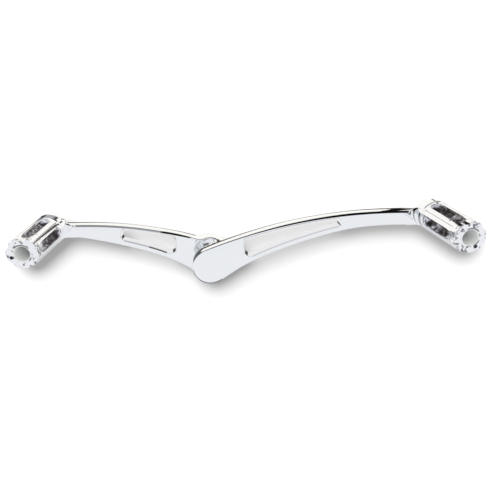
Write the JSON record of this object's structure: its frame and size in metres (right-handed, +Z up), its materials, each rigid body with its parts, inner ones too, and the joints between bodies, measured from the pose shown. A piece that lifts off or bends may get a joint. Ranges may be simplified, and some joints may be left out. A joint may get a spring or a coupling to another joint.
{
  "type": "heel and toe shift lever",
  "caption": "Chrome heel and toe shift levers with slotted arms, stacked on one splined shaft bore, each end carrying a fluted foot peg.",
  "frame": {"origin": "on the shift shaft's axis, at the inner face of the toe lever's hub", "axes": "+X rearward along the motorcycle to the heel peg, +Y inward along the shift shaft, +Z up as fitted"},
  "size_m": [0.4045, 0.1192, 0.0925],
  "materials": {
    "lever_chrome": "polished chrome plate",
    "peg_chrome": "polished chrome plate",
    "screw_steel": "satin steel"
  },
  "bodies": {
    "root": {"toe_lever": "lever_chrome", "heel_lever": "lever_chrome", "toe_peg": "peg_chrome", "heel_peg": "peg_chrome", "toe_peg_screw": "screw_steel", "heel_peg_screw": "screw_steel", "toe_clamp_screw": "screw_steel", "heel_clamp_screw": "screw_steel"}
  },
  "joints": []
}
